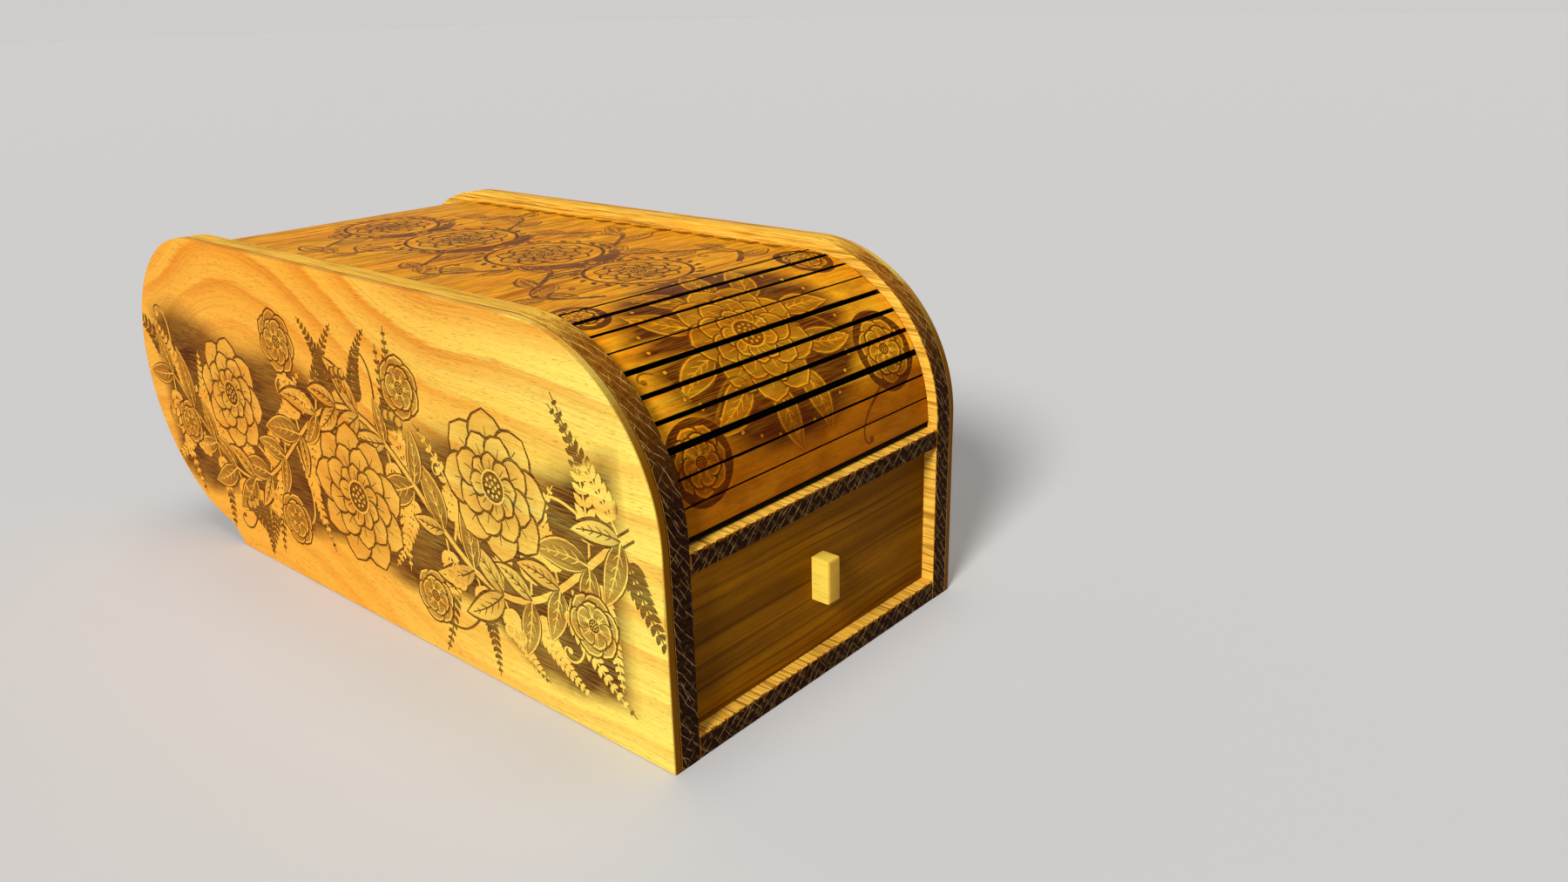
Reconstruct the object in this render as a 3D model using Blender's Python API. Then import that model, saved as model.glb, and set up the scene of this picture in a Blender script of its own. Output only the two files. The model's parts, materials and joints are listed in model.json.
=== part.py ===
"""Tambour pencil box: two laminated sides, a drawer under a shelf, and a roll lid of wooden slats.

Metres, +Z up. The box stands on Z = 0 with the origin under the middle of its outside size.
The drawer faces -Y and slides out that way. The roll lid opens towards +Y, up the front and over the top.
Profiles are drawn in the (y, z) plane with y = 0 at the sides' front edge, and moved to FRONT_Y at the end.
"""

import math

import bmesh
import bpy
from mathutils import Vector

# Driving dimensions of the case
WIDTH = 0.1135
LENGTH = 0.2440
HEIGHT = 0.1000
FOOT_HEIGHT = 0.0059
FRONT_RADIUS = 0.0458
FOOT_SLOPE_RUN = 0.0065
FOOT_COVE_SAG = 0.0005
SKIN_THICKNESS = 0.0022
INNER_THICKNESS = 0.0059
BASE_THICKNESS = 0.0057
LIP_DROP = 0.0021
SHELF_THICKNESS = 0.0051
INNER_BACK_THICKNESS = 0.0035
INNER_BACK_SETIN = 0.0280
BAY_BACK_THICKNESS = 0.0035
EDGE_EASING = 0.0002
EASED_ABOVE = math.radians(60)

# Clearances
GLUE_LINE = 0.0001
RUNNING_GAP = 0.0003
CUT_OVERRUN = 0.0010

# Roll lid
SLATS_OVER_TOP = 35
SLATS_DOWN_BACK = 15
SLATS_JOINED_AT_TAIL = 8
SLATS_OPENED = 5
SLAT_THICKNESS = 0.0028
SLAT_SEAM = 0.0002
SLAT_CHAMFER = 0.00025
RIM_STAND = 0.0030
TONGUE_LENGTH = 0.0037
TONGUE_THICKNESS = 0.0015
TONGUE_WIDTH = 0.0044
TRACK_CLEARANCE = 0.0008
TRACK_DEPTH = 0.0040
CLOTH_THICKNESS = 0.0005
CLOTH_SETIN = 0.0010

# How far a slat leans out of line with the track, as a share of one slat's turn.
# Slats 1 to 3, 7 with 8, and 10 with 11 lie nearly flat to each other, so the seams
# beside them stand wider open.
LEAN_SHARES = {1: -0.30, 3: 0.30, 7: -0.22, 8: 0.22, 10: -0.22}
LEAST_TURN = math.radians(1)

# Drawer
DRAWER_SETBACK = 0.0039
DRAWER_LENGTH = 0.1260
DRAWER_FRONT_THICKNESS = 0.0060
DRAWER_SIDE_THICKNESS = 0.0040
DRAWER_BACK_THICKNESS = 0.0040
DRAWER_BOTTOM_THICKNESS = 0.0025
DRAWER_BOTTOM_RISE = 0.0030
DRAWER_GROOVE_DEPTH = 0.0020
DRAWER_SIDE_DROP = 0.0020
DRAWER_SIDE_GAP = 0.0004
DRAWER_TOP_GAP = 0.0006
DRAWER_REAR_GAP = 0.0033

# Knob
KNOB_WIDTH = 0.0047
KNOB_HEIGHT = 0.0120
KNOB_REACH = 0.0056
KNOB_CHAMFER = 0.0011
KNOB_TENON_RADIUS = 0.0016
KNOB_TENON_SIDES = 24

# Finish of the curves
FRONT_ARC_STEPS = 26
BACK_ARC_STEPS = 48
COVE_STEPS = 5

# Worked out from the driving dimensions
BACK_RADIUS = (HEIGHT - FOOT_HEIGHT) / 2
BACK_CENTRE = Vector((LENGTH - BACK_RADIUS, HEIGHT - BACK_RADIUS))
FRONT_CENTRE = Vector((FRONT_RADIUS, HEIGHT - FRONT_RADIUS))
FRONT_Y = -(LENGTH + DRAWER_SETBACK - GLUE_LINE - KNOB_REACH) / 2
SHELF_TOP = FRONT_CENTRE.y - LIP_DROP
SIDE_THICKNESS = SKIN_THICKNESS + GLUE_LINE + INNER_THICKNESS
INNER_FACE_X = WIDTH / 2 - SIDE_THICKNESS
CLOTH_LINE = RIM_STAND + SLAT_THICKNESS
FRONT_TURN_RADIUS = FRONT_RADIUS - CLOTH_LINE
BACK_TURN_RADIUS = BACK_RADIUS - CLOTH_LINE
FRONT_TURN_LENGTH = FRONT_TURN_RADIUS * math.pi / 2
BACK_TURN_LENGTH = BACK_TURN_RADIUS * math.pi
FLAT_LENGTH = BACK_CENTRE.x - FRONT_CENTRE.x
SLAT_PITCH = (FRONT_TURN_LENGTH + FLAT_LENGTH) / SLATS_OVER_TOP
SLAT_WIDTH = SLAT_PITCH - SLAT_SEAM
SLAT_COUNT = SLATS_OVER_TOP + SLATS_DOWN_BACK
SLAT_BODY_LENGTH = 2 * (INNER_FACE_X - RUNNING_GAP)
LID_TRAVEL = SLATS_OPENED * SLAT_PITCH
BAY_HEIGHT = SHELF_TOP - SHELF_THICKNESS - BASE_THICKNESS
BAY_DEPTH = DRAWER_SETBACK + DRAWER_LENGTH + DRAWER_REAR_GAP
TRACK_FORWARD_END = BAY_DEPTH + BAY_BACK_THICKNESS + RUNNING_GAP
INNER_BACK_REAR = LENGTH - INNER_BACK_SETIN

# Each finish: the material's name, its colour as seen on the object and its roughness
FINISHES = {
    "skin": ("smooth_side_wood", (0.76, 0.45, 0.13, 1.0), 0.42),
    "oak": ("sawn_oak", (0.72, 0.46, 0.17, 1.0), 0.70),
    "slat": ("slat_wood", (0.62, 0.33, 0.07, 1.0), 0.30),
    "drawer": ("drawer_front_wood", (0.48, 0.28, 0.08, 1.0), 0.45),
    "knob": ("knob_wood", (0.86, 0.66, 0.30, 1.0), 0.50),
    "plain": ("inner_wood", (0.70, 0.52, 0.30, 1.0), 0.65),
    "cloth": ("backing_cloth", (0.02, 0.02, 0.022, 1.0), 0.95),
}


def clear_scene():
    """Remove whatever the scene holds."""
    for old in list(bpy.data.objects):
        bpy.data.objects.remove(old, do_unlink=True)


def make_material(name, colour, roughness):
    """A Principled material of one colour; nothing on the box is metal."""
    material = bpy.data.materials.new(name)
    material.use_nodes = True
    shader = material.node_tree.nodes["Principled BSDF"]
    shader.inputs["Base Color"].default_value = colour
    shader.inputs["Roughness"].default_value = roughness
    shader.inputs["Metallic"].default_value = 0.0
    material.diffuse_color = colour
    return material


def place_object(name, mesh, material, parent=None, location=(0, 0, 0), turn_x=0.0):
    """Put a mesh in the scene at a world location, under its pivot if it has one."""
    mesh_owner = bpy.data.objects.new(name, mesh)
    bpy.context.scene.collection.objects.link(mesh_owner)
    place = Vector(location)
    if parent is not None:
        mesh_owner.parent = parent
        place = place - parent.location
    mesh_owner.location = place
    mesh_owner.rotation_euler = (turn_x, 0, 0)
    if not mesh.materials:
        mesh.materials.append(material)
    return mesh_owner


def make_pivot(name, y=0.0, z=0.0):
    """An empty on a joint's axis; y counts from the box's front edge."""
    pivot = bpy.data.objects.new(name, None)
    bpy.context.scene.collection.objects.link(pivot)
    pivot.location = (0, FRONT_Y + y, z)
    return pivot


def extrude_profile(name, profile, x_low, x_high):
    """Mesh of a (y, z) outline, listed once round, carried along X between two places."""
    shape = bmesh.new()
    near = [shape.verts.new((x_low, y, z)) for y, z in profile]
    face = shape.faces.new(near)
    grown = bmesh.ops.extrude_face_region(shape, geom=[face])
    moved = [item for item in grown["geom"] if isinstance(item, bmesh.types.BMVert)]
    bmesh.ops.translate(shape, verts=moved, vec=(x_high - x_low, 0, 0))
    bmesh.ops.recalc_face_normals(shape, faces=shape.faces)
    mesh = bpy.data.meshes.new(name)
    shape.to_mesh(mesh)
    shape.free()
    return mesh


def make_box(name, low, high):
    """Mesh of a rectangular block between two corners."""
    profile = [(low[1], low[2]), (high[1], low[2]), (high[1], high[2]), (low[1], high[2])]
    return extrude_profile(name, profile, low[0], high[0])


def ease_edges(owner):
    """Take the sharpness off a board's edges, as sandpaper does."""
    bevel = owner.modifiers.new("eased_edges", "BEVEL")
    bevel.width = EDGE_EASING
    bevel.segments = 1
    bevel.limit_method = "ANGLE"
    bevel.angle_limit = EASED_ABOVE


def cut_with(owner, cutter, operation="DIFFERENCE"):
    """Combine a hidden helper with a piece and keep the helper out of the model."""
    cutter.hide_render = True
    cutter.display_type = "WIRE"
    boolean = owner.modifiers.new(cutter.name, "BOOLEAN")
    boolean.operation = operation
    boolean.solver = "EXACT"
    boolean.object = cutter


def arc_points(centre, radius, from_degrees, to_degrees, steps):
    """Points of an arc in the (y, z) plane, both ends included."""
    points = []
    for step in range(steps + 1):
        angle = math.radians(from_degrees + (to_degrees - from_degrees) * step / steps)
        points.append((centre[0] + radius * math.cos(angle), centre[1] + radius * math.sin(angle)))
    return points


def shift_profile(profile):
    """Move a profile drawn from the front edge to its place under the box's origin."""
    return [(FRONT_Y + y, z) for y, z in profile]


def side_outline():
    """The side's outline: front edge, front arc, top, half-round back, coved foot."""
    foot_angle = math.degrees(math.asin(FOOT_SLOPE_RUN / BACK_RADIUS))
    outline = [(0, 0)]
    outline += arc_points(FRONT_CENTRE, FRONT_RADIUS, 180, 90, FRONT_ARC_STEPS)
    outline += arc_points(BACK_CENTRE, BACK_RADIUS, 90, -90 + foot_angle, BACK_ARC_STEPS)
    start = Vector(outline[-1])
    end = Vector((BACK_CENTRE.x, 0))
    run = end - start
    inward = Vector((run.y, -run.x)).normalized()
    for step in range(1, COVE_STEPS):
        share = step / COVE_STEPS
        sag = 4 * share * (1 - share) * FOOT_COVE_SAG
        point = start + run * share + inward * sag
        outline.append((point.x, point.y))
    outline.append((end.x, end.y))
    return outline


def track_line(depth):
    """The outline at a depth inside the rim, from the shelf round to the forward end under the shelf."""
    line = [(depth, SHELF_TOP)]
    line += arc_points(FRONT_CENTRE, FRONT_RADIUS - depth, 180, 90, FRONT_ARC_STEPS)
    line += arc_points(BACK_CENTRE, BACK_RADIUS - depth, 90, -90, BACK_ARC_STEPS)
    line.append((TRACK_FORWARD_END, FOOT_HEIGHT + depth))
    return line


def cloth_point(distance):
    """Point of the cloth's line at a distance along it from the lip, and the line's direction there."""
    along_top = distance - FRONT_TURN_LENGTH
    along_back = along_top - FLAT_LENGTH
    if along_top < 0:
        tilt = math.pi / 2 - distance / FRONT_TURN_RADIUS
        return FRONT_CENTRE + FRONT_TURN_RADIUS * Vector((-math.sin(tilt), math.cos(tilt))), tilt
    if along_back < 0:
        return Vector((FRONT_CENTRE.x + along_top, HEIGHT - CLOTH_LINE)), 0.0
    if along_back < BACK_TURN_LENGTH:
        tilt = -along_back / BACK_TURN_RADIUS
        return BACK_CENTRE + BACK_TURN_RADIUS * Vector((-math.sin(tilt), math.cos(tilt))), tilt
    under = along_back - BACK_TURN_LENGTH
    return Vector((BACK_CENTRE.x - under, FOOT_HEIGHT + CLOTH_LINE)), -math.pi


def slat_pose(number, travel=0.0):
    """Middle of a slat's inner face and the slat's tilt, with the lid drawn back by travel."""
    start = (number - 1) * SLAT_PITCH + travel
    front, front_tilt = cloth_point(start)
    rear, rear_tilt = cloth_point(start + SLAT_PITCH)
    mean_tilt = (front_tilt + rear_tilt) / 2
    along = Vector((math.cos(mean_tilt), math.sin(mean_tilt)))
    chord = rear - front
    off_mean = math.atan2(along.x * chord.y - along.y * chord.x, along.dot(chord))
    lean = LEAN_SHARES.get(number, 0.0) * (front_tilt - rear_tilt)
    return (front + rear) / 2, mean_tilt + off_mean + lean


def slat_joint(number):
    """How one slat moves over the lid's travel: the point it turns about, or None where it slides."""
    before, tilt_before = slat_pose(number)
    after, tilt_after = slat_pose(number, LID_TRAVEL)
    turn = tilt_before - tilt_after
    if turn < LEAST_TURN:
        return None, 0.0
    chord = after - before
    sideways = Vector((chord.y, -chord.x))
    return (before + after) / 2 + sideways / (2 * math.tan(turn / 2)), turn


def slat_groups():
    """Slat numbers that stay on the front arc, the flat top or the back arc over the travel, and the rest."""
    flat_end = FRONT_TURN_LENGTH + FLAT_LENGTH
    groups = {"front": [], "top": [], "back": [], "bend": []}
    for number in range(1, SLAT_COUNT + 1):
        low = (number - 1) * SLAT_PITCH
        high = number * SLAT_PITCH + LID_TRAVEL
        centre, _ = slat_joint(number)
        if centre is None:
            groups["top"].append(number)
        elif high < FRONT_TURN_LENGTH + SLAT_SEAM:
            groups["front"].append(number)
        elif low > flat_end - SLAT_SEAM:
            groups["back"].append(number)
        else:
            groups["bend"].append(number)
    return groups


def slat_section():
    """Slat's cross-section from the cloth face over the eased outer edges and back to the cloth face."""
    half = SLAT_WIDTH / 2
    top = SLAT_THICKNESS
    cut = SLAT_CHAMFER
    front = [(-half, 0), (-half, top - cut), (cut - half, top)]
    return front + [(-y, z) for y, z in reversed(front)]


def tongue_section():
    """The tongue left at each end of a slat after its outer face is rebated away."""
    half = TONGUE_WIDTH / 2
    cut = SLAT_CHAMFER
    low = cut
    top = low + TONGUE_THICKNESS
    front = [(-half, low), (-half, top - cut), (cut - half, top)]
    return front + [(-y, z) for y, z in reversed(front)]


def slat_mesh(name, with_cloth):
    """A slat with a tongue at each end; a slat of the bends keeps its own strip of cloth."""
    body_half = SLAT_BODY_LENGTH / 2
    section = slat_section()
    if with_cloth:
        edge = SLAT_WIDTH / 2 - SLAT_SEAM
        section = section + [(edge, 0), (edge, -CLOTH_THICKNESS), (-edge, -CLOTH_THICKNESS), (-edge, 0)]
    tongue = tongue_section()
    shape = bmesh.new()
    rings = []
    for x in (-body_half, body_half):
        rings.append([shape.verts.new((x, y, z)) for y, z in section])
    for at, after in zip(range(len(section)), list(range(1, len(section))) + [0]):
        shape.faces.new((rings[0][at], rings[0][after], rings[1][after], rings[1][at]))
    for side, ring in zip((-1, 1), rings):
        root = [shape.verts.new((side * body_half, y, z)) for y, z in tongue]
        tip = [shape.verts.new((side * (body_half + TONGUE_LENGTH), y, z)) for y, z in tongue]
        for at, after in zip(range(len(tongue)), list(range(1, len(tongue))) + [0]):
            shape.faces.new((root[at], root[after], tip[after], tip[at]))
        shape.faces.new(tip)
        edges = []
        for loop in (ring, root):
            for at in range(len(loop)):
                edges.append(shape.edges.get((loop[at], loop[at - 1])))
        bmesh.ops.triangle_fill(shape, use_beauty=True, edges=edges)
    bmesh.ops.recalc_face_normals(shape, faces=shape.faces)
    mesh = bpy.data.meshes.new(name)
    shape.to_mesh(mesh)
    shape.free()
    return mesh


def world_section(number, section):
    """A section's points carried to a slat's place in the (y, z) plane."""
    middle, tilt = slat_pose(number)
    across = Vector((math.cos(tilt), math.sin(tilt)))
    outward = Vector((-math.sin(tilt), math.cos(tilt)))
    return [middle + across * y + outward * z for y, z in section]


def build_sides(materials):
    """Both sides: a thin smooth skin outside and the thicker grooved board inside."""
    outline = shift_profile(side_outline())
    outer_wall = CLOTH_LINE - SLAT_CHAMFER - TONGUE_THICKNESS - TRACK_CLEARANCE
    inner_wall = CLOTH_LINE - SLAT_CHAMFER + TRACK_CLEARANCE
    groove = shift_profile(track_line(outer_wall) + track_line(inner_wall)[::-1])
    for label, side in (("left", -1), ("right", 1)):
        skin_low = side * WIDTH / 2
        skin_high = side * (WIDTH / 2 - SKIN_THICKNESS)
        skin = extrude_profile(label + "_side_skin", outline, skin_low, skin_high)
        place_object(label + "_side_skin", skin, materials["skin"])
        inner_low = side * (INNER_FACE_X + INNER_THICKNESS)
        inner = extrude_profile(label + "_side_inner", outline, inner_low, side * INNER_FACE_X)
        board = place_object(label + "_side_inner", inner, materials["oak"])
        groove_far = side * (INNER_FACE_X + TRACK_DEPTH)
        groove_near = side * (INNER_FACE_X - CUT_OVERRUN)
        cutter = extrude_profile(label + "_track_cutter", groove, groove_far, groove_near)
        cut_with(board, place_object(label + "_track_cutter", cutter, materials["oak"]))


def build_boards(materials):
    """The boards between the sides: base, shelf, inner back and the drawer bay's back."""
    half = INNER_FACE_X - GLUE_LINE
    rear = FRONT_Y + BACK_CENTRE.x
    base = make_box("base_board", (-half, FRONT_Y, 0), (half, rear, BASE_THICKNESS))
    ease_edges(place_object("base_board", base, materials["oak"]))

    shelf_rear = FRONT_Y + INNER_BACK_REAR
    shelf_low = SHELF_TOP - SHELF_THICKNESS
    shelf = make_box("compartment_shelf", (-half, FRONT_Y, shelf_low), (half, shelf_rear, SHELF_TOP))
    ease_edges(place_object("compartment_shelf", shelf, materials["oak"]))

    under_lid = BACK_TURN_RADIUS - CLOTH_THICKNESS - TRACK_CLEARANCE - RUNNING_GAP
    back_top = []
    for y in (INNER_BACK_REAR, INNER_BACK_REAR - INNER_BACK_THICKNESS):
        out = y - BACK_CENTRE.x
        back_top.append((y, BACK_CENTRE.y + math.sqrt(under_lid ** 2 - out ** 2) - RUNNING_GAP))
    foot = SHELF_TOP + GLUE_LINE
    profile = [(back_top[1][0], foot), (back_top[0][0], foot), back_top[0], back_top[1]]
    inner_back = extrude_profile("inner_back", shift_profile(profile), -half, half)
    place_object("inner_back", inner_back, materials["plain"])

    low = (-half, FRONT_Y + BAY_DEPTH, BASE_THICKNESS + GLUE_LINE)
    high = (half, FRONT_Y + BAY_DEPTH + BAY_BACK_THICKNESS, shelf_low - GLUE_LINE)
    place_object("drawer_bay_back", make_box("drawer_bay_back", low, high), materials["plain"])


def build_drawer(materials):
    """The drawer: a butted box with its bottom held in grooves, and the knob's tenon through the front."""
    pivot = make_pivot("drawer_slide_axis", DRAWER_SETBACK, BASE_THICKNESS + BAY_HEIGHT / 2)
    half = INNER_FACE_X - DRAWER_SIDE_GAP
    low = BASE_THICKNESS + RUNNING_GAP
    high = SHELF_TOP - SHELF_THICKNESS - DRAWER_TOP_GAP
    side_high = high - DRAWER_SIDE_DROP
    face_y = FRONT_Y + DRAWER_SETBACK
    front_rear = face_y + DRAWER_FRONT_THICKNESS
    side_front = front_rear + GLUE_LINE
    rear = face_y + DRAWER_LENGTH

    groove_low = low + DRAWER_BOTTOM_RISE
    groove_high = groove_low + DRAWER_BOTTOM_THICKNESS + GLUE_LINE
    panel_low = groove_low + GLUE_LINE / 2
    panel_half = half - DRAWER_SIDE_THICKNESS + DRAWER_GROOVE_DEPTH - GLUE_LINE
    panel_front = front_rear - DRAWER_GROOVE_DEPTH + GLUE_LINE

    front = make_box("drawer_front", (-half, face_y, low), (half, front_rear, high))
    front_board = place_object("drawer_front", front, materials["drawer"], pivot)
    groove_half = panel_half + GLUE_LINE
    groove = make_box(
        "front_groove_cutter",
        (-groove_half, front_rear - DRAWER_GROOVE_DEPTH, groove_low),
        (groove_half, front_rear + CUT_OVERRUN, groove_high),
    )
    cut_with(front_board, place_object("front_groove_cutter", groove, materials["drawer"], pivot))
    knob_z = BASE_THICKNESS + BAY_HEIGHT / 2
    hole_radius = KNOB_TENON_RADIUS + GLUE_LINE
    hole = cylinder_mesh("knob_hole_cutter", hole_radius, DRAWER_FRONT_THICKNESS + 2 * CUT_OVERRUN)
    hole_place = (0, face_y - CUT_OVERRUN, knob_z)
    cut_with(front_board, place_object("knob_hole_cutter", hole, materials["drawer"], pivot, hole_place))

    for label, side in (("left", -1), ("right", 1)):
        outer = side * half
        inner = side * (half - DRAWER_SIDE_THICKNESS)
        name = "drawer_" + label + "_side"
        board = make_box(name, (outer, side_front, low), (inner, rear, side_high))
        board_owner = place_object(name, board, materials["plain"], pivot)
        groove_name = label + "_groove_cutter"
        groove_floor = inner + side * DRAWER_GROOVE_DEPTH
        groove = make_box(
            groove_name,
            (groove_floor, side_front - CUT_OVERRUN, groove_low),
            (inner - side * CUT_OVERRUN, rear + CUT_OVERRUN, groove_high),
        )
        cut_with(board_owner, place_object(groove_name, groove, materials["plain"], pivot))

    back_half = half - DRAWER_SIDE_THICKNESS - GLUE_LINE
    back_low = (-back_half, rear - DRAWER_BACK_THICKNESS, groove_high)
    back = make_box("drawer_back", back_low, (back_half, rear, side_high))
    place_object("drawer_back", back, materials["plain"], pivot)

    panel = make_box(
        "drawer_bottom",
        (-panel_half, panel_front, panel_low),
        (panel_half, rear, panel_low + DRAWER_BOTTOM_THICKNESS),
    )
    place_object("drawer_bottom", panel, materials["plain"], pivot)

    knob = knob_mesh("drawer_knob")
    place_object("drawer_knob", knob, materials["knob"], pivot, (0, face_y - GLUE_LINE, knob_z))


def cylinder_mesh(name, radius, length):
    """A round bar running along +Y from its own origin."""
    shape = bmesh.new()
    ring = []
    for step in range(KNOB_TENON_SIDES):
        angle = 2 * math.pi * step / KNOB_TENON_SIDES
        ring.append(shape.verts.new((radius * math.cos(angle), 0, radius * math.sin(angle))))
    face = shape.faces.new(ring)
    grown = bmesh.ops.extrude_face_region(shape, geom=[face])
    moved = [item for item in grown["geom"] if isinstance(item, bmesh.types.BMVert)]
    bmesh.ops.translate(shape, verts=moved, vec=(0, length, 0))
    bmesh.ops.recalc_face_normals(shape, faces=shape.faces)
    mesh = bpy.data.meshes.new(name)
    shape.to_mesh(mesh)
    shape.free()
    return mesh


def knob_mesh(name):
    """Block taller than wide with a chamfered face, and a round tenon behind it along +Y."""
    shape = bmesh.new()
    half_x = KNOB_WIDTH / 2
    half_z = KNOB_HEIGHT / 2
    rings = []
    for y, inset in ((0, 0), (KNOB_CHAMFER - KNOB_REACH, 0), (-KNOB_REACH, KNOB_CHAMFER)):
        x = half_x - inset
        z = half_z - inset
        corner = EDGE_EASING + inset / 2
        outline = [(x, z - corner), (x - corner, z), (corner - x, z), (-x, z - corner)]
        outline += [(-x, corner - z), (corner - x, -z), (x - corner, -z), (x, corner - z)]
        rings.append([shape.verts.new((u, y, v)) for u, v in outline])
    tenon = []
    for step in range(KNOB_TENON_SIDES):
        angle = 2 * math.pi * step / KNOB_TENON_SIDES
        reach = (KNOB_TENON_RADIUS * math.cos(angle), KNOB_TENON_RADIUS * math.sin(angle))
        tenon.append(reach)
    root = [shape.verts.new((u, 0, v)) for u, v in tenon]
    tip = [shape.verts.new((u, DRAWER_FRONT_THICKNESS, v)) for u, v in tenon]
    for lower, upper in ((rings[0], rings[1]), (rings[1], rings[2]), (root, tip)):
        for at in range(len(lower)):
            shape.faces.new((lower[at - 1], lower[at], upper[at], upper[at - 1]))
    shape.faces.new(rings[2])
    shape.faces.new(tip)
    edges = []
    for loop in (rings[0], root):
        for at in range(len(loop)):
            edges.append(shape.edges.get((loop[at], loop[at - 1])))
    bmesh.ops.triangle_fill(shape, use_beauty=True, edges=edges)
    bmesh.ops.recalc_face_normals(shape, faces=shape.faces)
    mesh = bpy.data.meshes.new(name)
    shape.to_mesh(mesh)
    shape.free()
    return mesh


def line_under(numbers, depth):
    """Points at a depth under a run of slats: its two ends, and the middle of each seam."""
    half = SLAT_WIDTH / 2
    edges = [world_section(number, [(-half, -depth), (half, -depth)]) for number in numbers]
    points = [edges[0][0]]
    for ahead, behind in zip(edges[:-1], edges[1:]):
        points.append((ahead[1] + behind[0]) / 2)
    points.append(edges[-1][1])
    return points


def cloth_strip(name, numbers):
    """The backing cloth behind a run of slats that keep their shape together."""
    near = line_under(numbers, RUNNING_GAP)
    far = line_under(numbers, RUNNING_GAP + CLOTH_THICKNESS)
    half = SLAT_BODY_LENGTH / 2 - CLOTH_SETIN
    return extrude_profile(name, shift_profile(near + far[::-1]), -half, half)


def build_lid(materials):
    """The roll lid: runs of slats that keep their shape, and single slats that go round a bend."""
    groups = slat_groups()
    plain = slat_mesh("slat", False)
    backed = slat_mesh("slat_with_cloth", True)
    pivots = {
        "front": make_pivot("lid_front_axis", FRONT_CENTRE.x, FRONT_CENTRE.y),
        "top": make_pivot("lid_top_axis", FRONT_CENTRE.x, HEIGHT - CLOTH_LINE),
        "back": make_pivot("lid_back_axis", BACK_CENTRE.x, BACK_CENTRE.y),
    }
    joined = groups["back"][-SLATS_JOINED_AT_TAIL:]
    for key in ("front", "top", "back"):
        for number in groups[key]:
            if number in joined:
                continue
            place_slat(number, plain, materials["slat"], pivots[key])
    for number in groups["bend"]:
        centre, _ = slat_joint(number)
        pivot = make_pivot("slat_%02d_axis" % number, centre.x, centre.y)
        place_slat(number, backed, materials["slat"], pivot)
    for key in ("front", "top", "back"):
        name = "backing_cloth_" + key
        numbers = [number for number in groups[key] if number not in joined]
        cloth = cloth_strip(name, numbers)
        place_object(name, cloth, materials["cloth"], pivots[key])
    build_tail(joined, materials, pivots["back"])


def place_slat(number, mesh, material, pivot):
    """One slat at its place on the track, lid closed."""
    middle, tilt = slat_pose(number)
    name = "slat_%02d" % number
    place_object(name, mesh, material, pivot, (0, FRONT_Y + middle.x, middle.y), tilt)


def build_tail(numbers, materials, pivot):
    """The last slats with their cloth as one piece, which stays on the back arc."""
    crowns = []
    for number in numbers:
        crowns += world_section(number, slat_section())
    half = SLAT_BODY_LENGTH / 2
    profile = shift_profile(crowns + line_under(numbers, CLOTH_THICKNESS)[::-1])
    body = extrude_profile("tail_slats", profile, -half, half)
    tail = place_object("tail_slats", body, materials["slat"], pivot)
    reach = half + TONGUE_LENGTH
    for number in numbers:
        name = "tongue_helper_%02d" % number
        bar = extrude_profile(name, shift_profile(world_section(number, tongue_section())), -reach, reach)
        cut_with(tail, place_object(name, bar, materials["slat"], pivot), "UNION")


def build():
    """Build the whole box."""
    clear_scene()
    materials = {key: make_material(*finish) for key, finish in FINISHES.items()}
    build_sides(materials)
    build_boards(materials)
    build_drawer(materials)
    build_lid(materials)
    bpy.context.view_layer.update()


build()
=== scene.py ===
import json
import math
import random

import bmesh
import bpy
from mathutils import Matrix, Vector
from mathutils.geometry import delaunay_2d_cdt

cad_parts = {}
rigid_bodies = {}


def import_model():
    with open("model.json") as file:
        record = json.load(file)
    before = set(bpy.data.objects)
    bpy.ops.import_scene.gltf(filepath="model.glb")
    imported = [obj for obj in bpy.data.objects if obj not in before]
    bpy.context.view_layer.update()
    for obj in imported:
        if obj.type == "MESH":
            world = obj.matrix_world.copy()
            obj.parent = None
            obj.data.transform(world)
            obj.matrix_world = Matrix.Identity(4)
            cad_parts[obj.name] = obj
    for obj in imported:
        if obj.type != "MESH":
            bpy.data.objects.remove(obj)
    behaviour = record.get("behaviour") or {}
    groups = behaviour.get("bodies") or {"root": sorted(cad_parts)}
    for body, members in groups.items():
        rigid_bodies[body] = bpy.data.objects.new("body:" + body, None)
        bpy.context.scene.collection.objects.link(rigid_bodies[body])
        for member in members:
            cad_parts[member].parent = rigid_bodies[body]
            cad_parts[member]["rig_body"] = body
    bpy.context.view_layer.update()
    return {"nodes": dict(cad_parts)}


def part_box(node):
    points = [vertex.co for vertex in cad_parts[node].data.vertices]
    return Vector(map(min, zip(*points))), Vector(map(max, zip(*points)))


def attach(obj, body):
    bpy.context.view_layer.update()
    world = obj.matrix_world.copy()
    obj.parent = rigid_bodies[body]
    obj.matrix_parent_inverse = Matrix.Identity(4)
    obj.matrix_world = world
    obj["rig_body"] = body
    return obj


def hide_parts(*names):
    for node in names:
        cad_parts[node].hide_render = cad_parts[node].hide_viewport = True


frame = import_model()

MM = 0.001

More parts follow.
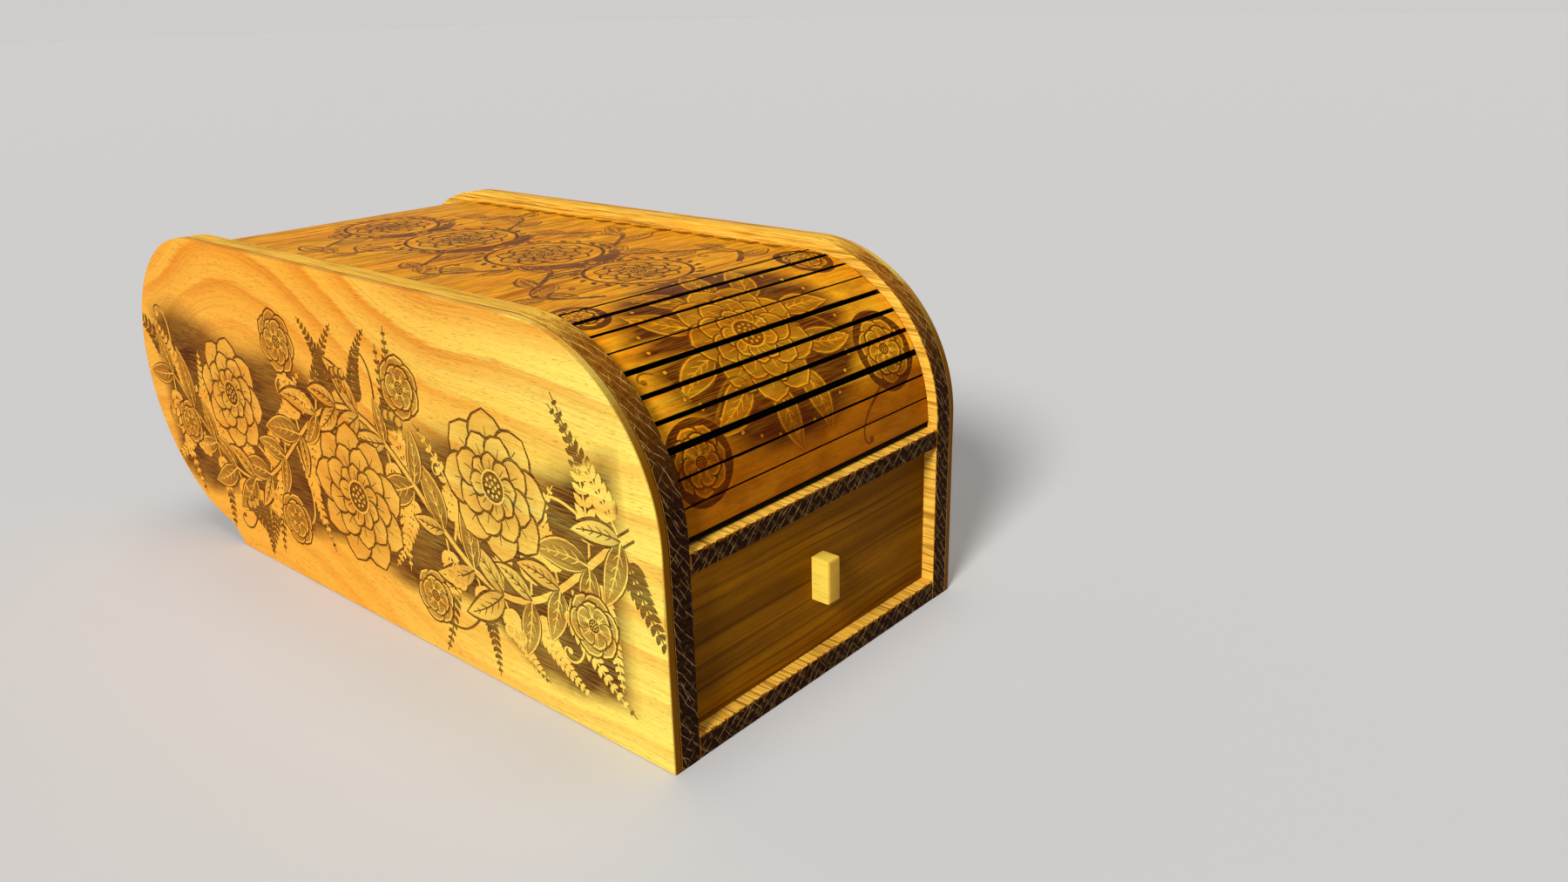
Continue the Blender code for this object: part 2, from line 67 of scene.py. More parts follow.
# Case and lid, in millimetres from the front edge of the sides and from the floor
FRONT_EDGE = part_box("left_side_skin")[0].y / MM
LENGTH = 244.0
HEIGHT = 100.0
HALF_WIDTH = 56.75
FOOT_HEIGHT = 5.9
FRONT_RADIUS = 45.8
FOOT_RUN = 6.5
FOOT_SAG = 0.5
SKIN = 2.2
INNER = 5.9
GLUE = 0.1
GLUE_LINE = 0.22
SKIN_EASE = 0.45
BOARD_EASE = 0.3
BACK_RADIUS = (HEIGHT - FOOT_HEIGHT) / 2
BACK_CENTRE = Vector((LENGTH - BACK_RADIUS, HEIGHT - BACK_RADIUS))
FRONT_CENTRE = Vector((FRONT_RADIUS, HEIGHT - FRONT_RADIUS))
INNER_FACE = HALF_WIDTH - SKIN - GLUE - INNER
SHELF_TOP = 52.1

CLOTH_LINE = 5.8
CLOTH = 0.5
CLOTH_SETBACK = 1.0
SLAT = 2.8
SLAT_SEAM = 0.2
SLAT_EASE = 0.12
SLATS_OVER_TOP = 35
SLAT_COUNT = 50
FRONT_TURN = FRONT_RADIUS - CLOTH_LINE
BACK_TURN = BACK_RADIUS - CLOTH_LINE
FRONT_ARC = FRONT_TURN * math.pi / 2
FLAT_RUN = BACK_CENTRE.x - FRONT_CENTRE.x
PITCH = (FRONT_ARC + FLAT_RUN) / SLATS_OVER_TOP
SLAT_WIDTH = PITCH - SLAT_SEAM
SLAT_HALF_LENGTH = INNER_FACE - 0.3
LIP_DROP = 1.9
LIP_STEP = 0.6
LIP_REACH = 0.5
LIP_SETBACK = 0.2

# How far some slats lean, as a share of the bend over one slat
LEAN_SHARES = {1: -0.30, 3: 0.30, 7: -0.22, 8: 0.22, 10: -0.22}

# The slats' tongues and the track that they run in
TONGUE_LENGTH = 3.7
TONGUE_ROOT = 0.1
TONGUE_RISE = 0.25
TONGUE = 1.5
TONGUE_WIDTH = 4.4
TRACK_DEPTH = 4.0
TRACK_PLAY = 0.8
TRACK_END = 137.0

# How wide the seams over the front curve stand open, from the lip upwards
SEAM_OPENINGS = (0.50, 0.60, 1.75, 1.20, 1.25, 1.50, 0.50, 1.15, 1.60, 0.85)

# Edges that were left as the saw cut them
SAWN_EASE = 0.25
SAWN_ROUGH = 0.22
SAWN_SETBACK = 0.35

# Half the knob's width and height, and its tenon
KNOB_HALF_X = 2.35
KNOB_HALF_Z = 6.0
TENON_RADIUS = 1.6
TENON_REACH = 6.0
TENON_SIDES = 24

# Above this angle an edge stays sharp, and this deep the engraving is sunk
SMOOTH_ANGLE = math.radians(42)
RELIEF = 0.12

# How dark a face is burnt: 0 bare, 1 engraved, 2 charred (black, which on the lid's lip is painted shade), and
# below 0 browned as an edge, partly painted shade
CHAR_AND_SHADE_BURN = 2.0
GLUE_BURN = 1.7
BROWN_AND_SHADE_BURN = -1.0

# Colours as they look on screen
CHAR_AND_SHADE = (0.035, 0.02, 0.01)
EDGE_BROWN_AND_SHADE = (0.46, 0.275, 0.0)

# The room's colour, as a shader takes it, and how strongly it lights
PALE = (0.62, 0.61, 0.60, 1.0)
ROOM_LIGHT = 0.14
FLOOR_REACH = 8.0


def linear(red, green, blue):
    """A colour as it looks on screen, turned into the linear values that a shader takes."""
    return tuple(
        value / 12.92 if value <= 0.04045 else ((value + 0.055) / 1.055) ** 2.4
        for value in (red, green, blue)
    ) + (1.0,)


class Graph:
    """A material's node tree with short calls to add to it."""

    def __init__(self, name):
        self.material = bpy.data.materials.new(name)
        self.material.use_nodes = True
        self.nodes = self.material.node_tree.nodes
        self.links = self.material.node_tree.links
        self.shader = self.nodes["Principled BSDF"]

    def put(self, socket, value):
        """Wire a socket in, or set a value; three numbers are a colour as it looks on screen."""
        if isinstance(value, bpy.types.NodeSocket):
            self.links.new(value, socket)
        else:
            on_screen = isinstance(value, tuple) and len(value) == 3
            socket.default_value = linear(*value) if on_screen else value

    def add(self, kind, inputs=None, **settings):
        node = self.nodes.new("ShaderNode" + kind)
        for key, value in settings.items():
            setattr(node, key, value)
        for key, value in (inputs or {}).items():
            self.put(node.inputs[key], value)
        return node

    def math(self, operation, first, second=0.0, clamp=False):
        node = self.add("Math", {0: first, 1: second}, operation=operation, use_clamp=clamp)
        return node.outputs[0]

    def times(self, first, second):
        return self.math("MULTIPLY", first, second)

    def plus(self, first, second):
        return self.math("ADD", first, second)

    def less(self, first, second):
        return self.math("SUBTRACT", first, second)

    def size(self, value):
        return self.math("ABSOLUTE", value)

    def mix(self, share, first, second):
        return self.add("Mix", {0: share, 6: first, 7: second}, data_type="RGBA").outputs[2]

    def tint(self, base, colour, mask, share):
        """Lay a colour over a base, by a mask and a share of it."""
        return self.mix(self.times(mask, share), base, colour)

    def noise(self, place, detail, roughness=0.55):
        settings = {"Vector": place, "Scale": 1.0, "Detail": detail, "Roughness": roughness}
        return self.add("TexNoise", settings).outputs[0]

    def range(self, value, low, high, new_low=0.0, new_high=1.0):
        inputs = {0: value, 1: low, 2: high, 3: new_low, 4: new_high}
        return self.add("MapRange", inputs, clamp=True).outputs[0]

    def patches(self, place, low, high, detail, roughness=0.55):
        """Soft patches, where noise rises from a low to a high value."""
        return self.range(self.noise(place, detail, roughness), low, high)

    def split(self, place):
        return self.add("SeparateXYZ", {0: place}).outputs

    def join(self, x, y, z):
        return self.add("CombineXYZ", {0: x, 1: y, 2: z}).outputs[0]

    def place(self):
        """Object coordinates in millimetres."""
        metres = self.add("TexCoord").outputs["Object"]
        return self.split(self.add("VectorMath", {0: metres, "Scale": 1 / MM}, operation="SCALE").outputs[0])

    def facing(self, axis):
        """How squarely a face looks along an axis."""
        return self.size(self.split(self.add("TexCoord").outputs["Normal"])["xyz".index(axis)])

    def attribute(self, name, output="Vector"):
        return self.add("Attribute", attribute_name=name).outputs[output]

    def bump(self, height, distance):
        node = self.add("Bump", {"Height": height, "Distance": distance * MM})
        self.links.new(node.outputs[0], self.shader.inputs["Normal"])

    def finish(self, colour, roughness, specular=None):
        self.put(self.shader.inputs["Base Color"], colour)
        self.put(self.shader.inputs["Roughness"], roughness)
        if specular is not None:
            self.put(self.shader.inputs["Specular IOR Level"], specular)
        return self.material


# Finishes, with every length in millimetres and every colour as it looks on screen
def wood(name, light, middle, dark, rings, ring_share, streak_share, line_share, pore_share, roughness,
         along=None, ring_tint=None, ring_low=None, arch=None, swirl=(20.0, 20.0), band_share=0.3,
         line_size=(0.016, 1.9), line_start=None, mottle_share=0.0, fade=None, painted_shade=None, end_share=0.0,
         specular=0.15, burnt=None):
    """A wood finish: growth rings, bands, streaks, lines and short pores along the grain, and burnt marks.

    x runs along the grain and y across it. ring_low and line_start are (y, y, share at the first), arch is
    (x, half width, height) of a hill in the rings, and swirl how far they sway at low and high x. fade is
    (x, x, share, colour), painted_shade (y, y, share, colour) is painted shade that darkens low y, and burnt
    (colour, streaks, roughness, specular).
    """
    graph = Graph(name)
    if along is None:
        x, y, z = graph.split(graph.attribute("grain"))
    else:
        x, y, z = graph.place()
        x, y, z = (x, z, y) if along == "x" else (y, z, x)

    def stretched(along_scale, across_scale, across=y):
        scaled = graph.times(across, across_scale)
        return graph.join(graph.times(x, along_scale), scaled, graph.times(z, across_scale))

    sway = graph.less(graph.noise(stretched(0.011, 0.024), 1.5, 0.45), 0.5)
    bent = graph.plus(y, graph.times(sway, graph.range(x, 40.0, 150.0, *swirl)))
    if arch is not None:
        place, half_width, height = arch
        hill = graph.range(graph.size(graph.less(x, place)), 0.0, half_width, 0.0, math.pi)
        bent = graph.less(bent, graph.times(graph.math("COSINE", hill), height))
    feather = graph.times(graph.less(graph.noise(stretched(0.09, 1.6), 3.0, 0.6), 0.5), 4.0)
    ring = graph.math("FRACT", graph.times(graph.plus(bent, feather), rings))
    edge = graph.range(ring, 0.86, 1.0, 1.0, 0.0)
    ring = graph.times(graph.math("POWER", graph.range(ring, 0.10, 0.92), 1.6), edge)
    ring = graph.times(ring, graph.range(graph.noise(stretched(0.006, 0.03), 1.0), 0.35, 0.60, 0.45, 1.0))
    if ring_low is not None:
        ring = graph.times(ring, graph.range(y, *ring_low, 1.0))
    band = graph.patches(stretched(0.004, 0.12), 0.35, 0.65, 2.0, 0.5)
    streak = graph.patches(stretched(0.014, 0.75, bent), 0.32, 0.68, 4.0, 0.6)
    line = graph.patches(stretched(*line_size, bent), 0.52, 0.65, 2.0, 0.6)
    if line_start is not None:
        line = graph.times(line, graph.range(y, *line_start, 1.0))
    fibre = graph.patches(stretched(0.12, 4.5), 0.32, 0.68, 3.0, 0.6)
    pore = graph.patches(stretched(0.42, 3.6), 0.60, 0.72, 1.0, 0.5)
    base = graph.tint(light, middle, streak, streak_share)
    base = graph.tint(base, middle, band, band_share)
    if fade is not None:
        low, high, share, colour = fade
        base = graph.mix(graph.range(x, low, high, 0.0, share), base, colour)
    # Painted shade: a darker tint towards low y across the grain.
    if painted_shade is not None:
        low, high, share, colour = painted_shade
        base = graph.mix(graph.range(y, low, high, share, 0.0), base, colour)
    if mottle_share:
        base = graph.tint(base, dark, graph.patches(stretched(0.10, 0.26), 0.42, 0.66, 3.0, 0.6), mottle_share)
    base = graph.tint(base, ring_tint or dark, ring, ring_share)
    for mask, share in ((fibre, 0.3 * streak_share), (line, line_share), (pore, pore_share)):
        base = graph.tint(base, dark, mask, share)
    if end_share:
        base = graph.mix(graph.range(graph.facing(along), 0.30, 0.90, 0.0, end_share), base, dark)
    if burnt is not None:
        burn = graph.attribute("burn", "Fac")
        ragged = graph.range(fibre, 0.0, 1.0, 0.72, 1.10)
        colour = graph.tint(burnt[0], burnt[1], streak, 0.6)
        # Below zero burn: edge brown, partly painted shade; from one to two: char, which on the lid's lip is
        # painted shade.
        base = graph.mix(graph.range(burn, 0.0, BROWN_AND_SHADE_BURN), base, EDGE_BROWN_AND_SHADE)
        base = graph.mix(graph.math("MULTIPLY", burn, ragged, clamp=True), base, colour)
        base = graph.mix(graph.range(burn, 1.0, CHAR_AND_SHADE_BURN), base, CHAR_AND_SHADE)
        roughness = graph.range(burn, 0.0, 1.0, roughness, burnt[2])
        specular = graph.range(burn, 0.0, 1.0, specular, burnt[3])
    graph.bump(graph.less(graph.times(fibre, 0.4), graph.times(pore, 0.6)), 0.02)
    return graph.finish(base, roughness, specular)


def sawn_oak(name, ridge, line_share, marks):
    """Sawn oak: golden faces with dark lines along the grain, and dark end grain with ridges and saw marks.

    ridge is (turn, rate, share, tint), and each mark (turn, gap, width, seed, least noise to show).
    """
    graph = Graph(name)
    x, y, z = graph.place()
    facing = graph.facing("y")

    def turned(angle):
        return graph.plus(graph.times(x, math.cos(angle)), graph.times(z, math.sin(angle)))

    def at(scale, depth):
        return graph.join(graph.times(x, scale), depth, graph.times(z, scale))

    def stripe(lane, rate, narrow, wide):
        away = graph.size(graph.less(graph.math("FRACT", graph.times(lane, rate)), 0.5))
        return graph.range(away, narrow, wide, 1.0, 0.0)

    line = graph.patches(at(1.7, graph.times(y, 0.03)), 0.50, 0.62, 3.0, 0.7)
    hair = graph.patches(at(4.5, graph.times(y, 0.10)), 0.38, 0.62, 2.0, 0.6)
    face = graph.mix(hair, (1.0, 0.82, 0.34), (0.95, 0.66, 0.17))
    face = graph.tint(face, (0.52, 0.28, 0.04), line, line_share)
    spot = graph.patches(at(0.9, 0.0), 0.36, 0.64, 4.0, 0.7)
    brown = graph.mix(spot, (0.46, 0.25, 0.03), (0.64, 0.39, 0.08))
    deep = graph.mix(spot, (0.06, 0.014, 0.002), (0.20, 0.09, 0.012))
    steep = graph.range(facing, 0.56, 0.98)
    turn, rate, ridge_share, ridge_tint = ridge
    ridge = stripe(graph.plus(turned(turn), spot), rate, 0.04, 0.18)
    ridge = graph.times(ridge, graph.patches(at(1.6, 0.0), 0.42, 0.58, 3.0, 0.7))
    end = graph.tint(graph.mix(steep, brown, deep), ridge_tint, ridge, ridge_share)
    scratch = None
    for turn, gap, width, seed, least in marks:
        lane = graph.plus(turned(turn), graph.times(graph.noise(at(0.14, seed), 1.0), 2.4))
        shown = graph.patches(at(0.38, seed + 4.0), least, least + 0.18, 1.0)
        mark = graph.times(stripe(lane, 1 / gap, width * 0.5, width), shown)
        scratch = mark if scratch is None else graph.math("MAXIMUM", scratch, mark)
    pale = graph.mix(steep, (0.94, 0.74, 0.34), (0.70, 0.54, 0.33))
    end = graph.tint(end, pale, scratch, 0.8)
    end_share = graph.range(facing, 0.14, 0.42)
    worn = graph.times(graph.plus(graph.times(scratch, -0.6), ridge), end_share)
    graph.bump(graph.plus(graph.times(line, -0.8), worn), 0.10)
    return graph.finish(graph.mix(end_share, face, end), 0.62, 0.03)


def cloth_black():
    """Black backing cloth: a plain weave of threads in both directions."""
    graph = Graph("backing_cloth")
    x, y, z = graph.place()
    threads = 9.0
    over = graph.math("SINE", graph.times(x, threads))
    under = graph.math("SINE", graph.times(graph.plus(y, z), threads))
    weave = graph.range(graph.times(over, under), -1.0, 1.0)
    graph.bump(weave, 0.05)
    return graph.finish(graph.mix(weave, (0.07, 0.07, 0.075), (0.15, 0.15, 0.16)), 0.9)


def add_object(name, data):
    thing = bpy.data.objects.new(name, data)
    bpy.context.scene.collection.objects.link(thing)
    return thing


def mesh_from(name, shape, material, body, node=None, grain=None):
    """Turn a bmesh into a piece that rides on a body and may stand for a CAD node."""
    bmesh.ops.recalc_face_normals(shape, faces=shape.faces)
    mesh = bpy.data.meshes.new(name)
    shape.to_mesh(mesh)
    shape.free()
    mesh.shade_smooth()
    mesh.set_sharp_from_angle(angle=SMOOTH_ANGLE)
    mesh.materials.append(material)
    if grain is not None:
        table = mesh.attributes.new("grain", "FLOAT_VECTOR", "POINT")
        table.data.foreach_set("vector", [value for vertex in mesh.vertices for value in grain(vertex.co)])
    piece = add_object(name, mesh)
    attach(piece, body)
    if node is not None:
        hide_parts(node)


def counter_clockwise(points):
    area = 0.0
    for a, b in zip(points, points[1:] + points[:1]):
        area += a[0] * b[1] - b[0] * a[1]
    return points if area > 0 else points[::-1]


# Engraving: shapes in the plane of a face, each with how dark it is burnt
def spine(base, heading, length, curl, steps):
    """Points and headings along a line that bends evenly."""
    x, y = base
    points = [(x, y, heading)]
    for step in range(steps):
        turn = heading + curl * (step + 0.5) / steps
        x += math.cos(turn) * length / steps
        y += math.sin(turn) * length / steps
        points.append((x, y, heading + curl * (step + 1) / steps))
    return points


def beside(point, half):
    """The places to the left and right of a point on a spine."""
    x, y, turn = point
    nx, ny = -math.sin(turn) * half, math.cos(turn) * half
    return (x + nx, y + ny), (x - nx, y - ny)


def around(centre, radius, way):
    return centre[0] + radius * math.cos(way), centre[1] + radius * math.sin(way)


def ribbon(shapes, points, start_width, end_width, tone):
    """A drawn line as a row of four-sided pieces, so that it may cross itself."""
    count = len(points) - 1
    sides = [
        beside(point, (start_width + (end_width - start_width) * at / count) / 2)
        for at, point in enumerate(points)
    ]
    for (a, b), (c, d) in zip(sides[:-1], sides[1:]):
        shapes.append((counter_clockwise([a, b, d, c]), tone))


def disc(shapes, centre, radius, tone, sides):
    shapes.append(([around(centre, radius, math.tau * k / sides) for k in range(sides)], tone))


def blade(points, width, fullness, swell):
    """Outline of a leaf or petal along a spine."""
    count = len(points) - 1
    pairs = []
    for at, point in enumerate(points):
        full = math.sin(math.pi * (at / count) ** swell) ** fullness if 0 < at < count else 0.0
        pairs.append(beside(point, width / 2 * full))
    left, right = zip(*pairs)
    return counter_clockwise(list(right + left[1:-1][::-1]))


def fading(base, heading, length, strong, weak):
    """Tone that runs from strong at a leaf's base to weak at its tip."""
    dx, dy = math.cos(heading), math.sin(heading)

    def tone(u, v):
        share = ((u - base[0]) * dx + (v - base[1]) * dy) / length
        return strong + (weak - strong) * min(max(share, 0.0), 1.0) ** 0.6
    return tone


def leaf(shapes, base, heading, length, width, curl, line=0.95, negative=False):
    """A pointed leaf with an edge, a shaded foot and veins, drawn dark on light or light on dark."""
    points = spine(base, heading, length, curl, 12)
    edge = spine(base, heading, length, curl, 8)
    inner = spine(base, heading, length * 0.96, curl, 8)
    strong, weak = (line, line * 0.55) if negative else (0.5, 0.0)
    pen = 0.0 if negative else line
    shapes.append((blade(edge, width + 1.4, 0.9, 0.8), line))
    if negative:
        shapes.append((blade(edge, width + 0.5, 0.9, 0.8), 0.0))
    shapes.append((blade(inner, width - 0.5, 0.9, 0.8), fading(base, heading, length, strong, weak)))
    ribbon(shapes, points[:-1:2], 0.6, 0.3, pen)
    for at in range(2, 10, 2):
        x, y, turn = points[at]
        reach = width * 0.40 * math.sin(math.pi * ((at + 2) / 12) ** 0.8)
        for side in (-1, 1):
            vein = spine((x, y), turn + side * 0.75, reach * 1.1, -side * 0.35, 2)
            ribbon(shapes, vein, 0.42, 0.2, pen)


def bloom(shapes, centre, radius, petals, turn, layers=3, line=0.95, negative=False):
    """An open flower: rings of petals with marked edges, and a seeded heart."""
    for layer in range(layers):
        reach = radius * (1.0 - 0.27 * layer)
        wide = reach * math.sin(math.pi / petals) * 1.75
        for k in range(petals):
            way = turn + math.tau * (k + 0.5 * (layer % 2)) / petals
            base = around(centre, reach * 0.10, way)
            filled = fading(base, way, reach * 0.9, 0.95, 0.45 if negative else 0.0)
            fills = [(0.6, 0.1, 0.0), (1.2, -0.6, filled)] if negative else [(0.6, -0.6, filled)]
            for inset, spread, tone in [(0.0, 1.1, line)] + fills:
                points = spine(base, way, reach * 0.9 - inset, 0.0, 9)
                shapes.append((blade(points, wide + spread, 0.62, 1.45), tone))
            for side in (-0.22, 0.0, 0.22):
                mark = spine(base, way + side, reach * (0.66 - abs(side)), 0.0, 1)
                ribbon(shapes, mark, 0.55, 0.25, 0.0 if negative else line)
    heart = radius * 0.2
    disc(shapes, centre, heart * 1.15, 0.0, 16)
    disc(shapes, centre, heart, line, 16)
    for ring, number in ((0.62, 9), (0.25, 4)):
        for k in range(number):
            disc(shapes, around(centre, heart * ring, math.tau * k / number), heart * 0.13, 0.05, 6)


def tendril(shapes, base, heading, length, curl, tone):
    """A thin shoot that winds up, with a bead at its end."""
    x, y, turn = *base, heading
    points = [(x, y, turn)]
    steps = 19
    for step in range(steps):
        share = step / steps
        turn += curl / steps * (0.1 + 2.7 * share * share)
        x += math.cos(turn) * length / steps * (1.3 - share)
        y += math.sin(turn) * length / steps * (1.3 - share)
        points.append((x, y, turn))
    ribbon(shapes, points, 1.0, 0.45, tone)
    disc(shapes, (x, y), 0.9, tone, 10)


def berries(shapes, base, heading, size, tone):
    """Three berries on short stalks."""
    for side in (-0.55, 0.0, 0.55):
        stalk = spine(base, heading + side, size * 3.2, -side * 0.6, 6)
        ribbon(shapes, stalk, 0.5, 0.35, tone)
        x, y, _ = stalk[-1]
        disc(shapes, (x, y), size, tone, 16)
        disc(shapes, (x - size * 0.15, y + size * 0.2), size * 0.62, 0.25, 12)


def soft_step(value):
    value = min(max(value, 0.0), 1.0)
    return value * value * (3 - 2 * value)


def frond(shapes, base, heading, length, curl, size, tone):
    """A fern frond: a thin stem with pairs of narrow leaflets that shrink towards its tip."""
    points = spine(base, heading, length, curl, 14)
    ribbon(shapes, points, 0.8, 0.35, tone)
    for at in range(2, 14):
        x, y, turn = points[at]
        small = size * (1.15 - at / 14)
        for side in (-1, 1):
            leaflet = spine((x, y), turn + side * 0.95, small, -side * 0.3, 4)
            shapes.append((blade(leaflet, small * 0.36 + 0.5, 0.8, 0.9), tone))


def side_design(seed):
    """Flowering branches and ferns over a shaded ground, for the outer face of a side."""
    draw = random.Random(seed)
    shapes = []

    def low(u):
        return 7 + 9 * soft_step((u - 30) / 45) + 2.5 * math.sin(u * 0.11)

    def high(u):
        return 73 + 6 * math.sin(u * 0.028 + 2.2) + 3 * math.sin(u * 0.09 + 1.0)

    def ground(u, v):
        edge = min((v - low(u)) / 5, (high(u) - v) / 11, (u - 9) / 9, (236 - u) / 9)
        patch = 0.10 * math.sin(u * 0.17 + v * 0.05) * math.sin(v * 0.21 + 1.3)
        return (0.93 + patch) * soft_step(edge)

    def contrary(u, v):
        return 0.0 if ground(u, v) > 0.4 else 0.9

    band = [(u, low(u)) for u in range(9, 237, 3)] + [(u, high(u)) for u in range(236, 8, -3)]
    shapes.append((counter_clockwise(band), ground))
    blooms = [(57, 56, 20, 8), (120, 37, 22, 9), (186, 54, 18.5, 8)]
    wave = math.tau / 128
    stem = []
    for step in range(61):
        u = 9 + 224 * step / 60
        slope = -18 * wave * math.cos((u - 24) * wave)
        stem.append((u, 45 - 18 * math.sin((u - 24) * wave), math.atan(slope)))
    for at in range(1, 60, 3):
        u, v, turn = stem[at]
        for side in (-1, 1):
            room = (86 - v) if side > 0 else (v - 5)
            reach = min(draw.uniform(30, 42), room * 1.15)
            heading = side * (math.pi / 2) + draw.uniform(-0.55, 0.55)
            curl = draw.choice((-1, 1)) * draw.uniform(0.3, 1.0)
            if reach > 12:
                frond(shapes, (u, v), heading, reach, curl, draw.uniform(5.0, 6.5), contrary)
    for at in range(2, 60, 4):
        u, v, turn = stem[at]
        side = 1 if at % 8 == 2 else -1
        length = draw.uniform(36, 46)
        tendril(shapes, (u, v), turn + side * 1.3, length, -side * draw.uniform(5.0, 7.0), contrary)
    ribbon(shapes, stem, 3.4, 1.6, 0.95)
    ribbon(shapes, stem, 2.0, 0.7, 0.05)
    for at in range(1, 60, 3):
        u, v, turn = stem[at]
        if any(math.hypot(u - b[0], v - b[1]) < b[2] * 0.7 for b in blooms):
            continue
        for side in (-1, 1):
            length = draw.uniform(13, 21)
            heading = turn + side * draw.uniform(0.6, 1.2)
            tip = v + math.sin(heading) * length
            if tip < 6 or tip > 90:
                length *= 0.6
            curl = -side * draw.uniform(0.2, 0.7)
            width = length * draw.uniform(0.32, 0.42)
            leaf(shapes, (u, v), heading, length, width, curl, negative=draw.random() < 0.5)
    for u, v, turn in stem[6:58:6]:
        side = -1 if math.sin((u - 24) * wave) > 0 else 1
        heading = side * (math.pi / 2) + draw.uniform(-0.4, 0.4)
        berries(shapes, (u, v + side * 4), heading, draw.uniform(1.6, 2.3), contrary)
    for u, v, radius, petals in blooms:
        bloom(shapes, (u, v), radius, petals, draw.uniform(0, 1))
    small = ((92, 74, 9, 6), (152, 76, 10, 7), (24, 30, 9, 6), (88, 17, 8.5, 6), (158, 20, 9, 6), (219, 38, 8, 6))
    for u, v, radius, petals in small:
        bloom(shapes, (u, v), radius, petals, draw.uniform(0, 1), 2, negative=True)
    return shapes


def lid_design():
    """Leaf scrolls and flowers over the lid: x across it, s along it from its lip."""
    draw = random.Random(41)
    shapes = []

    def ground(u, v):
        near = 1 - math.hypot((u + 5) / 38, (v - 37) / 31)
        return soft_step(near * 5.0)

    def oval(wide, high, way):
        return (-5 + wide * math.cos(way), 37 + high * math.sin(way))

    shapes.append(([oval(38, 31, math.pi * k / 24) for k in range(48)], ground))
    for k in range(10):
        way = math.tau * k / 10 + 0.2
        leaf(shapes, oval(15, 13, way), way, 18, 7, 0.5 if k % 2 else -0.5, 0.85, negative=True)
    for k in range(30):
        disc(shapes, oval(31, 25, math.tau * (k + 0.5) / 30), 0.55, 0.0, 8)
    bloom(shapes, (-5, 37), 19, 9, 0.3, 3, 0.9, negative=True)
    for u, s, radius in ((36, 22, 9.5), (-38, 14, 8.5), (39, 56, 7), (-40, 58, 6)):
        disc(shapes, (u, s), radius + 1.2, 1.0, 36)
        bloom(shapes, (u, s), radius, 7, 0.1, 2, 1.0, negative=True)
    shoots = (((24, 30), 2.2, 26, 5), ((-30, 20), 0.9, 26, -5), ((30, 14), 3.6, 24, 4), ((-34, 26), 1.9, 22, 5))
    for base, way, length, curl in shoots:
        tendril(shapes, base, way, length, curl, 0.75)
    for side in (-1, 1):
        stem = []
        for step in range(71):
            s = 66 + 132 * step / 70
            phase = (s - 66) * math.tau / 48
            slope = side * 11 * math.tau / 48 * math.cos(phase)
            stem.append((side * (24 + 11 * math.sin(phase)), s, math.atan2(1, slope)))
        ribbon(shapes, stem, 1.8, 1.0, 0.9)
        for at in range(2, 70, 3):
            u, s, turn = stem[at]
            way = turn + (0.8 if at % 2 else -0.8)
            curl = -0.5 if at % 2 else 0.5
            leaf(shapes, (u, s), way, draw.uniform(11, 16), draw.uniform(4, 5.5), curl, 0.9, negative=at % 4 < 2)
        for at in range(5, 70, 12):
            u, s, turn = stem[at]
            tendril(shapes, (u, s), turn + side * 1.2, 20, side * 5.0, 0.85)
        for at in (18, 42, 66):
            u, s, turn = stem[at]
            bloom(shapes, (u - side * 13, s), 7, 6, 0.2, 2, 0.9, negative=True)
    for s, radius in ((80, 12), (118, 14), (157, 14), (194, 12)):
        disc(shapes, (0, s), radius + 3.0, 1.0, 44)
        disc(shapes, (0, s), radius + 1.9, 0.0, 44)
        for k in range(24):
            way = math.tau * k / 24
            points = spine(around((0, s), radius + 3.4, way), way + 0.7, 3.6, 0.4, 6)
            shapes.append((blade(points, 1.6, 0.8, 0.9), 0.95))
        bloom(shapes, (0, s), radius, 9, 0.2, 3, 1.0)
    for s in (98, 138, 176):
        for side in (-1, 1):
            frond(shapes, (0, s), math.pi / 2 * (1 - side) + side * 0.2, 19, side * 0.5, 5, 0.9)
        disc(shapes, (0, s), 2.4, 0.9, 18)
        disc(shapes, (0, s), 1.2, 0.0, 12)
    for side in (-1, 1):
        for s in range(68, 206, 9):
            frond(shapes, (side * 45.5, s), math.pi / 2, 8.5, 0.0, 2.6, 0.85)
    return shapes


def triangulate(outlines, extra=()):
    """Triangles of overlapping shapes; each comes with the numbers of the shapes over it."""
    points, faces = [], []
    for outline in outlines:
        faces.append(list(range(len(points), len(points) + len(outline))))
        points += [Vector(point) for point in outline]
    points += [Vector(point) for point in extra]
    verts, _, tris, _, _, owners = delaunay_2d_cdt(points, [], faces, 1, 1e-5, True)
    return verts, tris, owners


def face_inside(outline, shapes, extra=()):
    """Triangles inside an outline, with the tone of the topmost shape over each."""
    verts, tris, owners = triangulate([outline] + [poly for poly, _ in shapes], extra)
    kept, tones = [], []
    for tri, own in zip(tris, owners):
        if 0 in own:
            kept.append(list(tri))
            tones.append(shapes[max(own) - 1][1] if max(own) else 0.0)
    return verts, kept, tones


def border_loop(tris):
    """The vertices round a patch of triangles, in order."""
    ahead = dict.fromkeys(edge for tri in tris for edge in zip(tri, tri[1:] + tri[:1]))
    onward = {a: b for a, b in ahead if (b, a) not in ahead}
    loop = [next(iter(onward))]
    while onward[loop[-1]] != loop[0]:
        loop.append(onward[loop[-1]])
    return loop


